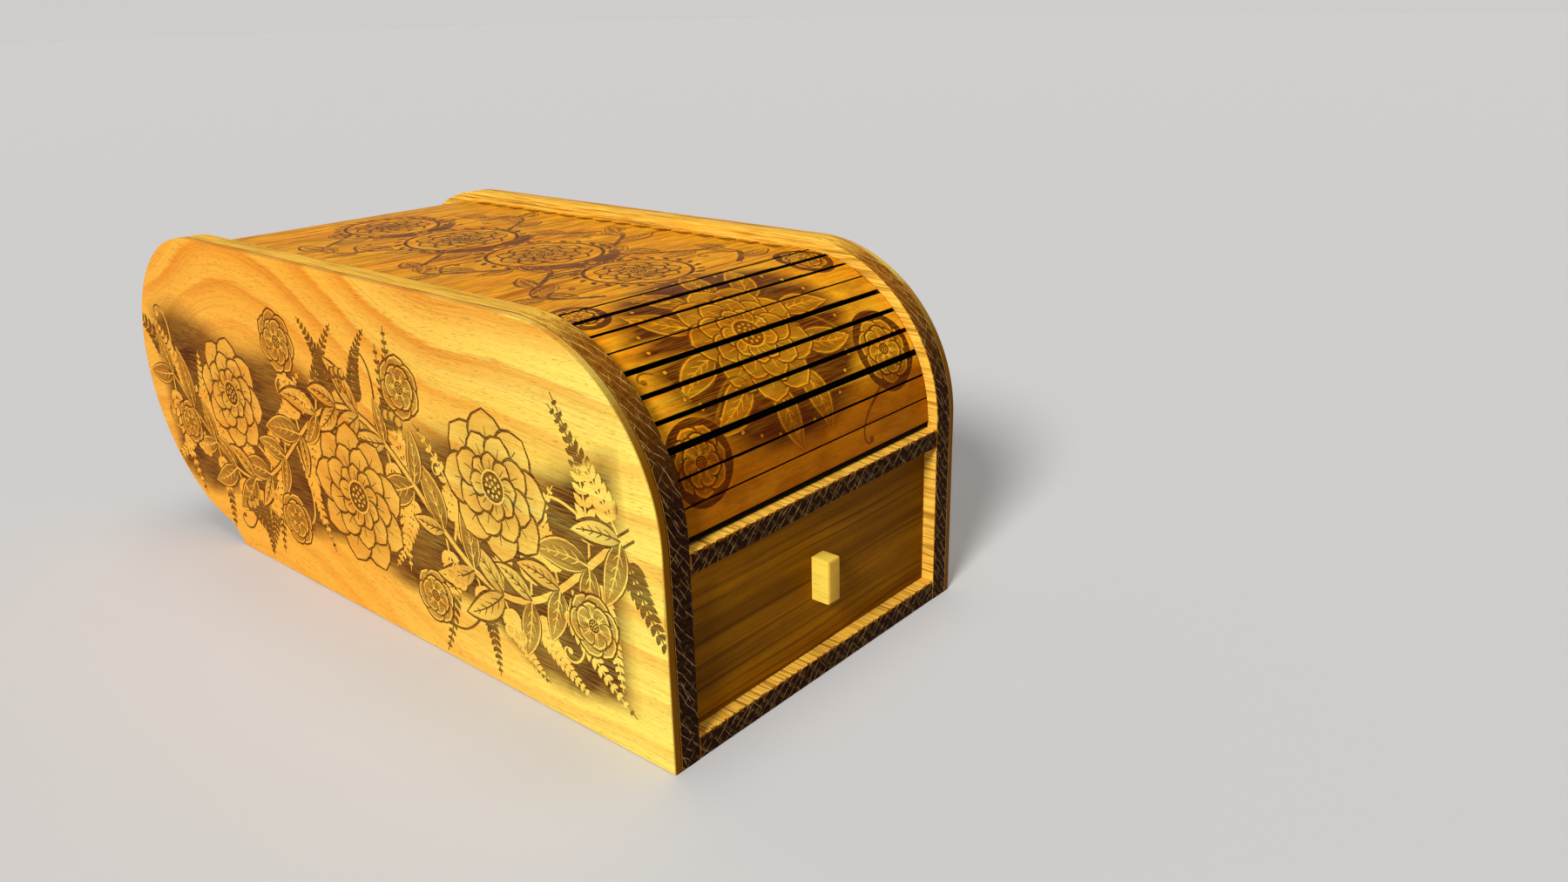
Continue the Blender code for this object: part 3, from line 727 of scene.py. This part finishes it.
def outset_ways(points):
    """Outward mitre direction at each point of a counter-clockwise outline."""
    ways = []
    for before, here, after in zip(points[-1:] + points[:-1], points, points[1:] + points[:1]):
        first, second = (here - before).normalized(), (after - here).normalized()
        n1, n2 = Vector((first.y, -first.x)), Vector((second.y, -second.x))
        ways.append((n1 + n2) / (1 + n1.dot(n2)))
    return ways


def easing_rings(radius, steps, thickness):
    """The steps of a rounded edge and the foot of the rim, as distances out and down."""
    angles = [math.pi / 2 * step / steps for step in range(1, steps + 1)]
    return [(radius * math.sin(a), radius * (1 - math.cos(a))) for a in angles] + [(radius, thickness)]


def slab(shape, verts, tris, tones, rings, put, relief, burn_layer=None, rim_tone=None):
    """Close a triangulated face into a board: burnt parts sunk, edges eased, flat back."""
    made = {}

    def depth(tone, at):
        value = tone(*verts[at]) if callable(tone) else tone
        return value, round(relief * min(1.0, value * 2), 4)

    def corner(at, deep):
        if (at, deep) not in made:
            made[(at, deep)] = shape.verts.new(put(verts[at].x, verts[at].y, deep))
        return made[(at, deep)]

    def add_face(corners, burns):
        """Add a face unless it is there already, and say whether it was added."""
        try:
            face = shape.faces.new(corners)
        except ValueError:
            return False
        if burn_layer is not None:
            for loop, burn in zip(face.loops, burns):
                loop[burn_layer] = burn
        return True

    edges = {}
    for tri, tone in zip(tris, tones):
        known = [depth(tone, at) for at in tri]
        if add_face([corner(at, deep) for at, (_, deep) in zip(tri, known)], [burn for burn, _ in known]):
            for k in range(3):
                n = (k + 1) % 3
                edges[(tri[k], tri[n])] = (known[k], known[n])
    for (a, b), (ka, kb) in edges.items():
        other = edges.get((b, a))
        if other is None or a > b:
            continue
        ob, oa = other
        wall = list(dict.fromkeys([corner(a, ka[1]), corner(b, kb[1]), corner(b, ob[1]), corner(a, oa[1])]))
        if len(wall) > 2:
            add_face(wall[::-1], [max(ka[0], kb[0], oa[0], ob[0])] * len(wall))
    loop = border_loop(tris)
    points = [verts[at] for at in loop]
    ways = outset_ways(points)
    rim = [edges[pair][0] for pair in zip(loop, loop[1:] + loop[:1])]
    last = [corner(at, deep) for at, (_, deep) in zip(loop, rim)]
    for row, (out, drop) in enumerate(rings):
        fresh = [shape.verts.new(put(p.x + w.x * out, p.y + w.y * out, drop)) for p, w in zip(points, ways)]
        for k, (tone, _) in enumerate(rim):
            n = (k + 1) % len(rim)
            if rim_tone is not None:
                tone = rim_tone(tone, ways[k], row)
            add_face([last[n], last[k], fresh[k], fresh[n]], [tone] * 4)
        last = fresh
    shape.faces.new(last[::-1])


def loft(shape, rings):
    """Close a row of rings of vertices into a solid, and give its faces."""
    faces = []
    for near, far in zip(rings[:-1], rings[1:]):
        for k in range(len(near)):
            n = (k + 1) % len(near)
            faces.append(shape.faces.new([near[k], near[n], far[n], far[k]]))
    return faces + [shape.faces.new(rings[0][::-1]), shape.faces.new(rings[-1])]


def arc(centre, radius, start, sweep, steps):
    """Points along a clockwise arc."""
    angles = [start - sweep * step / steps for step in range(steps + 1)]
    return [centre + radius * Vector((math.cos(angle), math.sin(angle))) for angle in angles]


# Case
def side_outline(inset):
    """The side's outline at a distance inside its edge, counter-clockwise in (y, z)."""
    foot = math.asin(FOOT_RUN / BACK_RADIUS)
    outline = [Vector((0.0, 0.0))] + arc(FRONT_CENTRE, FRONT_RADIUS, math.pi, math.pi / 2, 48)
    outline += arc(BACK_CENTRE, BACK_RADIUS, math.pi / 2, math.pi - foot, 96)
    start, end = outline[-1], Vector((BACK_CENTRE.x, 0.0))
    run = end - start
    inward = Vector((run.y, -run.x)).normalized()
    for step in range(1, 8):
        share = step / 8
        outline.append(start + run * share + inward * 4 * share * (1 - share) * FOOT_SAG)
    outline = (outline + [end])[::-1]
    return [point - way * inset for point, way in zip(outline, outset_ways(outline))]


def track_outline():
    """The groove for the slats' tongues, wider than they are by its play on both sides."""
    rows = []
    for deep in (CLOTH_LINE - TONGUE_RISE - TONGUE - TRACK_PLAY, CLOTH_LINE - TONGUE_RISE + TRACK_PLAY):
        front = arc(FRONT_CENTRE, FRONT_RADIUS - deep, math.pi, math.pi / 2, 48)
        back = arc(BACK_CENTRE, BACK_RADIUS - deep, math.pi / 2, math.pi, 96)
        rows.append([(deep, SHELF_TOP)] + front + back + [(TRACK_END, FOOT_HEIGHT + deep)])
    return counter_clockwise(rows[0] + rows[1][::-1])


def world(x, y, z):
    return Vector((x * MM, (FRONT_EDGE + y) * MM, z * MM))


def side_grain(co):
    """Grain coordinates of a side from its place: along the box, up it and through the board."""
    return (co.y / MM, co.z / MM, co.x / MM)


def build_skin(side, label, seed, material):
    """Outer face of a side with its engraving, and a softly rounded edge."""
    grid = [(u, v) for u in range(12, 234, 5) for v in range(7, 92, 5)]
    face = face_inside(side_outline(SKIN_EASE), side_design(seed), grid)
    rings = easing_rings(SKIN_EASE, 4, SKIN - GLUE_LINE) + [(SKIN_EASE, SKIN)]
    shape = bmesh.new()
    layer = shape.loops.layers.float.new("burn")

    def put(u, v, drop):
        return world(side * (HALF_WIDTH - drop), u, v)

    def rim_tone(tone, way, row):
        if row == len(rings) - 1:
            return GLUE_BURN
        # Edge brown: partly the cut edge's own brown, partly painted shade, browner where the edge faces the
        # front than where it faces up.
        return BROWN_AND_SHADE_BURN * (0.2 + 0.8 * soft_step((-way.x - 0.35) / 0.6)) * min(1.0, row / 3)

    slab(shape, *face, rings, put, RELIEF, layer, rim_tone)
    name, node = label + "_side_engraved", label + "_side_skin"
    mesh_from(name, shape, material, "case", node, side_grain)


def build_inner(side, label, material):
    """The thick board of a side, with the track for the slats' tongues let into it."""
    face = face_inside(side_outline(BOARD_EASE), [(track_outline(), 1.0)])
    shape = bmesh.new()

    def put(u, v, drop):
        return world(side * (INNER_FACE + drop), u, v)

    slab(shape, *face, easing_rings(BOARD_EASE, 3, INNER), put, TRACK_DEPTH)
    mesh_from(label + "_side_board", shape, material, "case", label + "_side_inner")


def build_sawn_board(name, node, seed, material):
    """A board whose front edge was left as the saw cut it, with small splinters torn along its top."""
    draw = random.Random(seed)
    (x0, y0, z0), (x1, y1, z1) = ([value / MM for value in corner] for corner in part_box(node))
    stations = []
    x = x0
    while x < x1 - 0.3:
        stations.append(x)
        x += draw.uniform(0.16, 0.30)
    stations.append(x1)
    shape = bmesh.new()
    rings = []
    for x in stations:
        tooth = (x / 2.9 + 0.35 * math.sin(x * 0.37)) % 1.0
        tear = SAWN_ROUGH * (1.5 * (1 - tooth) ** 2 + draw.uniform(-0.1, 0.45))
        chip = draw.uniform(0, SAWN_ROUGH)
        wave = 0.05 * math.sin(x * 1.7)
        front = y0 + (SAWN_SETBACK if x in (x0, x1) else 0.0)
        section = [
            (y1, z0), (front + SAWN_EASE, z0), (front + chip * 0.5, z0 + SAWN_EASE * 0.6),
            (front + wave + 0.05, (z0 + z1) / 2), (front + chip * 0.4, z1 - SAWN_EASE - tear),
            (front + SAWN_EASE * 0.5 + tear * 0.9, z1 - 0.05 - tear * 0.25),
            (front + SAWN_EASE * 2 + tear, z1), (y1, z1),
        ]
        rings.append([shape.verts.new((x * MM, y * MM, z * MM)) for y, z in section])
    loft(shape, rings)
    mesh_from(name, shape, material, "case", node)


# Lid and drawer pull
def cloth_point(distance):
    """The cloth's place in (y, z) and its tilt, at a distance along it from the lip."""
    along_top = distance - FRONT_ARC
    along_back = along_top - FLAT_RUN
    if along_top < 0:
        tilt = math.pi / 2 - distance / FRONT_TURN
        return FRONT_CENTRE + FRONT_TURN * Vector((-math.sin(tilt), math.cos(tilt))), tilt
    if along_back < 0:
        return Vector((FRONT_CENTRE.x + along_top, HEIGHT - CLOTH_LINE)), 0.0
    tilt = -along_back / BACK_TURN
    return BACK_CENTRE + BACK_TURN * Vector((-math.sin(tilt), math.cos(tilt))), tilt


def slat_frame(number):
    """A slat's middle, and its directions across its width and out of its face."""
    front, front_tilt = cloth_point((number - 1) * PITCH)
    rear, rear_tilt = cloth_point(number * PITCH)
    chord = rear - front
    lean = LEAN_SHARES.get(number, 0.0) * (front_tilt - rear_tilt)
    tilt = math.atan2(chord.y, chord.x) + lean
    across = Vector((math.cos(tilt), math.sin(tilt)))
    return (front + rear) / 2, across, Vector((-across.y, across.x))


def seam_cuts():
    """How much each slat's outer edges are cut back, front and rear, to open its seams as on the object."""
    cuts = {number: [0.0, 0.0] for number in range(1, SLAT_COUNT + 1)}
    cuts[1][0] = -LIP_REACH
    for number, opening in enumerate(SEAM_OPENINGS, 1):
        near, far = slat_frame(number), slat_frame(number + 1)
        rear = near[0] + near[1] * SLAT_WIDTH / 2 + near[2] * SLAT
        front = far[0] - far[1] * SLAT_WIDTH / 2 + far[2] * SLAT
        least = -0.2 if number < 3 else -0.05
        share = max((opening - (front - rear).length) / 2, least)
        cuts[number][1] = share
        cuts[number + 1][0] = share
    return cuts


def slat_patches():
    """The lid's engraved face cut into slats: vertices, and each slat's triangles and tones."""
    shapes = lid_design()
    half = SLAT_HALF_LENGTH - SLAT_EASE
    reach = SLAT_WIDTH / 2 - SLAT_EASE
    plots = []
    for number in range(1, SLAT_COUNT + 1):
        middle = (number - 0.5) * PITCH
        low, high = middle - reach, middle + reach
        plots.append([(-half, low), (half, low), (half, high), (-half, high)])
    verts, tris, owners = triangulate(plots + [poly for poly, _ in shapes])
    patches = {number: ([], []) for number in range(1, SLAT_COUNT + 1)}
    for tri, own in zip(tris, owners):
        if own and min(own) < SLAT_COUNT:
            kept, tones = patches[min(own) + 1]
            top = max(own) - SLAT_COUNT
            kept.append(list(tri))
            tones.append(shapes[top][1] if top >= 0 else 0.0)
    return verts, patches


def add_bar(shape, number, near, far, section):
    """A bar along a slat, from a section in the slat's own directions; gives its faces."""
    middle, across, outward = slat_frame(number)
    rings = []
    for x in (near, far):
        ring = []
        for s, high in section:
            place = middle + across * s + outward * high
            ring.append(shape.verts.new(world(x, place.x, place.y)))
        rings.append(ring)
    return loft(shape, rings)


def add_slat(shape, layer, number, verts, patch, cuts):
    """One slat with sharp edges, charred sides and a tongue at each end."""
    middle, across, outward = slat_frame(number)
    centre = (number - 0.5) * PITCH

    def put(u, s, drop):
        share = (s - centre) / SLAT_WIDTH
        cut = cuts[0] * (0.5 - share) - cuts[1] * (0.5 + share)
        place = middle + across * (s - centre + cut * (1 - drop / SLAT)) + outward * (SLAT - drop)
        return world(u, place.x, place.y)

    def rim_tone(tone, way, row):
        return CHAR_AND_SHADE_BURN if row > 1 else tone

    slab(shape, verts, *patch, easing_rings(SLAT_EASE, 2, SLAT), put, 0.0, layer, rim_tone)
    section = [
        (s * TONGUE_WIDTH / 2, TONGUE_RISE + TONGUE * high)
        for s, high in ((-1, 0), (1, 0), (1, 0.8), (0.86, 1), (-0.86, 1), (-1, 0.8))
    ]
    near, far = SLAT_HALF_LENGTH - TONGUE_ROOT, SLAT_HALF_LENGTH + TONGUE_LENGTH
    for side in (-1, 1):
        add_bar(shape, number, side * near, side * far, section)


def add_lip(shape, layer):
    """A rebate along the lower edge of the first slat, which closes on the shelf; its char black is painted shade
    for the dark gap under the lid.
    """
    half = SLAT_HALF_LENGTH - LIP_SETBACK
    edge, top = -SLAT_WIDTH / 2, SLAT - LIP_STEP
    section = ((edge - LIP_DROP, 0.4), (edge + 0.5, 0.4), (edge + 0.5, top), (edge - LIP_DROP, top))
    # Painted shade: the bar is coloured char black to stand for the shadow in the gap under the lip.
    for face in add_bar(shape, 1, -half, half, section):
        for loop in face.loops:
            loop[layer] = CHAR_AND_SHADE_BURN


def slat_grain(number):
    """Grain coordinates on a slat: across the box, along the lid from its lip, and out of its face."""
    middle, across, outward = slat_frame(number)
    start = (number - 0.5) * PITCH

    def grain(co):
        offset = Vector((co.y / MM - FRONT_EDGE, co.z / MM)) - middle
        return (co.x / MM + 31.7 * (number % 5), start + offset.dot(across), offset.dot(outward))
    return grain


def build_strip(number, body, cloth):
    """A strip of the backing cloth behind one slat."""
    half = SLAT_HALF_LENGTH - CLOTH_SETBACK
    bevel = 0.1
    reach = SLAT_WIDTH / 2 - bevel
    shape = bmesh.new()
    add_bar(shape, number, -half, half, (
        (-reach, 0.02), (reach, 0.02), (reach, bevel - CLOTH), (reach - bevel, -CLOTH),
        (bevel - reach, -CLOTH), (-reach, bevel - CLOTH),
    ))
    mesh_from("cloth_strip_%02d" % number, shape, cloth, body)


def build_lid(material, cloth):
    """All the slats, and the strips of cloth behind those that go round a bend or are joined at the tail."""
    verts, patches = slat_patches()
    cuts = seam_cuts()
    groups = {"slat_%02d" % number: [number] for number in range(1, SLAT_COUNT + 1)}
    groups = {node: group for node, group in groups.items() if node in frame["nodes"]}
    groups["tail_slats"] = list(range(len(groups) + 1, SLAT_COUNT + 1))
    for node, group in groups.items():
        body = frame["nodes"][node]["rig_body"]
        shape = bmesh.new()
        layer = shape.loops.layers.float.new("burn")
        for number in group:
            add_slat(shape, layer, number, verts, patches[number], cuts[number])
            if number == 1:
                add_lip(shape, layer)
        mesh_from(node + "_wood", shape, material, body, node, slat_grain(group[0]))
        if body.startswith("bend") or len(group) > 1:
            for number in group:
                build_strip(number, body, cloth)


def build_knob(material):
    """The pull: a small upright block with chamfered face and softened corners, and its tenon."""
    low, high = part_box("drawer_knob")
    middle = (low.z + high.z) / 2 / MM
    front = low.y / MM
    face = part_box("drawer_front")[0].y / MM
    back = face - GLUE
    shape = bmesh.new()

    def ring(y, points):
        return [shape.verts.new((x * MM, y * MM, (middle + z) * MM)) for x, z in points]

    rings = []
    for y, inset in ((back, 0.0), (front + 0.60, 0.0), (front + 0.42, 0.05), (front + 0.08, 0.38), (front, 0.56)):
        corner = 0.24 + inset * 0.45
        x, z = KNOB_HALF_X - inset - corner, KNOB_HALF_Z - inset - corner
        points = []
        for quarter, (sx, sz) in enumerate(((1, 1), (-1, 1), (-1, -1), (1, -1))):
            for k in range(5):
                angle = math.pi / 2 * (quarter + k / 4)
                points.append((sx * x + corner * math.cos(angle), sz * z + corner * math.sin(angle)))
        rings.append(ring(y, points))
    loft(shape, rings)
    angles = [math.tau * k / TENON_SIDES for k in range(TENON_SIDES)]
    circle = [(TENON_RADIUS * math.cos(angle), TENON_RADIUS * math.sin(angle)) for angle in angles]
    loft(shape, [ring(y, circle) for y in (back - 0.05, face + TENON_REACH)])
    mesh_from("drawer_pull", shape, material, "drawer", "drawer_knob")


# Studio
def build_floor():
    """A plain pale floor, not part of the object."""
    corners = [(x * FLOOR_REACH, y * FLOOR_REACH, 0) for x, y in ((-1, -1), (1, -1), (1, 1), (-1, 1))]
    mesh = bpy.data.meshes.new("floor")
    mesh.from_pydata(corners, [], [(0, 1, 2, 3)])
    mesh.materials.append(Graph("pale_floor").finish(PALE, 0.8, 0.2))
    add_object("floor", mesh)


def build_lights():
    """Soft studio light from the left, in a room that looks pale but adds little light."""
    studio = bpy.data.worlds.new("studio")
    bpy.context.scene.world = studio
    studio.use_nodes = True
    nodes, links = studio.node_tree.nodes, studio.node_tree.links
    room = nodes["Background"]
    room.inputs["Color"].default_value = (1.0, 1.0, 1.0, 1.0)
    room.inputs["Strength"].default_value = ROOM_LIGHT
    seen = nodes.new("ShaderNodeBackground")
    seen.inputs["Color"].default_value = PALE
    path = nodes.new("ShaderNodeLightPath")
    share = path.outputs["Is Camera Ray"]
    for ray in ("Is Glossy Ray", "Is Transmission Ray"):
        either = nodes.new("ShaderNodeMath")
        either.operation = "MAXIMUM"
        links.new(share, either.inputs[0])
        links.new(path.outputs[ray], either.inputs[1])
        share = either.outputs[0]
    mixer = nodes.new("ShaderNodeMixShader")
    links.new(share, mixer.inputs[0])
    links.new(room.outputs[0], mixer.inputs[1])
    links.new(seen.outputs[0], mixer.inputs[2])
    links.new(mixer.outputs[0], nodes["World Output"].inputs["Surface"])
    for name, towards, strength, degrees in (
        ("key", (-0.80, -0.21, 0.56), 3.1, 15.0),
        ("top", (0.05, 0.0, 1.0), 0.95, 40.0),
    ):
        lamp = bpy.data.lights.new(name, "SUN")
        lamp.energy = strength
        lamp.angle = math.radians(degrees)
        add_object(name, lamp).rotation_euler = Vector(towards).to_track_quat("Z", "Y").to_euler()


def build_camera():
    """The photograph's viewpoint: angles in radians, distances in metres, focal length in pixels."""
    azimuth, height, roll = -0.86848, 0.36040, -0.02114
    distance, focal_px, width_px = 0.384597, 1349.82, 1800.0
    target = Vector((0.065801, 0.069701 + FRONT_EDGE * MM, 0.027836))
    back = Vector((math.sin(azimuth) * math.cos(height), -math.cos(azimuth) * math.cos(height), math.sin(height)))
    right = (-back).cross(Vector((0, 0, 1))).normalized()
    up = right.cross(-back)
    side = right * math.cos(roll) + up * math.sin(roll)
    top = up * math.cos(roll) - right * math.sin(roll)
    lens = bpy.data.cameras.new("camera")
    lens.sensor_fit = "HORIZONTAL"
    lens.lens = lens.sensor_width * focal_px / width_px
    lens.clip_start = 0.01
    camera = add_object("camera", lens)
    matrix = Matrix((side, top, back)).transposed().to_4x4()
    matrix.translation = target + back * distance
    camera.matrix_world = matrix
    bpy.context.scene.camera = camera


def dress():
    """Give every visible piece its shape and finish."""
    side_wood = wood(
        "smooth_side_wood", (1.0, 0.95, 0.47), (1.0, 0.84, 0.32), (0.56, 0.28, 0.06),
        rings=0.085, ring_share=0.9, ring_low=(22, 66, 0.4), ring_tint=(0.87, 0.50, 0.09),
        arch=(52.0, 105.0, 17.0), swirl=(12.0, 45.0), band_share=0.4, streak_share=0.65, line_share=0.18,
        pore_share=0.4, fade=(-118, 5, 0.8, (0.95, 0.61, 0.14)), roughness=0.5, specular=0.03,
        burnt=((0.23, 0.07, 0.02), (0.37, 0.16, 0.05), 0.6, 0.02),
    )
    # On the slats the painted shade darkens the three lowest slats, which face the front and would catch less
    # light.
    slat_wood = wood(
        "slat_wood", (1.0, 0.77, 0.16), (1.0, 0.575, 0.03), (0.46, 0.16, 0.0),
        rings=0.05, ring_share=0.15, swirl=(10.0, 10.0), band_share=0.4, streak_share=0.8, line_share=0.66,
        line_size=(0.035, 1.25), line_start=(42, 68, 0.25), pore_share=0.3, mottle_share=0.40,
        painted_shade=(14.5, 19.5, 0.75, (0.59, 0.29, 0.0)), roughness=0.4, specular=0.01,
        burnt=((0.25, 0.07, 0.01), (0.39, 0.145, 0.02), 0.40, 0.02),
    )
    front_wood = wood(
        "drawer_front_wood", (0.73, 0.465, 0.01), (0.47, 0.285, 0.0), (0.21, 0.085, 0.0), along="x",
        rings=0.05, ring_share=0.4, swirl=(9.0, 9.0), band_share=1.0, streak_share=0.5, line_share=0.5,
        line_size=(0.006, 0.7), pore_share=0.2, mottle_share=0.15, fade=(5, 47, 0.6, (0.40, 0.235, 0.0)),
        roughness=0.5, specular=0.02,
    )
    knob_wood = wood(
        "knob_wood", (1.0, 0.88, 0.36), (0.95, 0.76, 0.22), (0.64, 0.37, 0.06), along="y",
        rings=0.2, ring_share=0.15, band_share=0.2, streak_share=0.3, line_share=0.1, pore_share=0.2,
        end_share=0.6, roughness=0.6, specular=0.04,
    )
    plain_x, plain_y = (
        wood(
            "inner_wood_" + along, (0.93, 0.78, 0.46), (0.86, 0.67, 0.34), (0.58, 0.38, 0.13), along=along,
            rings=0.08, ring_share=0.2, streak_share=0.6, line_share=0.2, pore_share=0.3, roughness=0.6,
        )
        for along in "xy"
    )
    oak_side = sawn_oak(
        "sawn_oak_sides", (math.pi / 2 - 0.12, 0.36, 0.35, (0.42, 0.26, 0.08)), 0.65,
        ((0.62, 1.8, 0.06, 3.1, 0.38), (-0.80, 2.9, 0.035, 11.7, 0.50), (0.40, 4.1, 0.03, 23.4, 0.44)),
    )
    oak_board = sawn_oak(
        "sawn_oak_boards", (0.75, 0.29, 0.6, (0.50, 0.38, 0.19)), 0.8,
        ((-0.88, 2.2, 0.05, 3.1, 0.40), (0.74, 3.1, 0.03, 11.7, 0.50), (-0.72, 3.9, 0.03, 23.4, 0.44)),
    )
    cloth = cloth_black()
    for side, label, seed in ((-1, "left", 7), (1, "right", 19)):
        build_skin(side, label, seed, side_wood)
        build_inner(side, label, oak_side)
    build_sawn_board("rail_and_shelf", "compartment_shelf", 5, oak_board)
    build_sawn_board("base_panel", "base_board", 8, oak_board)
    build_lid(slat_wood, cloth)
    build_knob(knob_wood)
    for material, nodes in (
        (plain_x, ("inner_back", "drawer_bay_back", "drawer_back", "drawer_bottom")),
        (plain_y, ("drawer_left_side", "drawer_right_side")),
        (front_wood, ("drawer_front",)),
        (cloth, ("backing_cloth_front", "backing_cloth_top", "backing_cloth_back")),
    ):
        for node in nodes:
            mesh = frame["nodes"][node].data
            mesh.materials.clear()
            mesh.materials.append(material)


dress()
build_floor()
build_lights()
build_camera()
bpy.context.scene.view_settings.view_transform = "Standard"
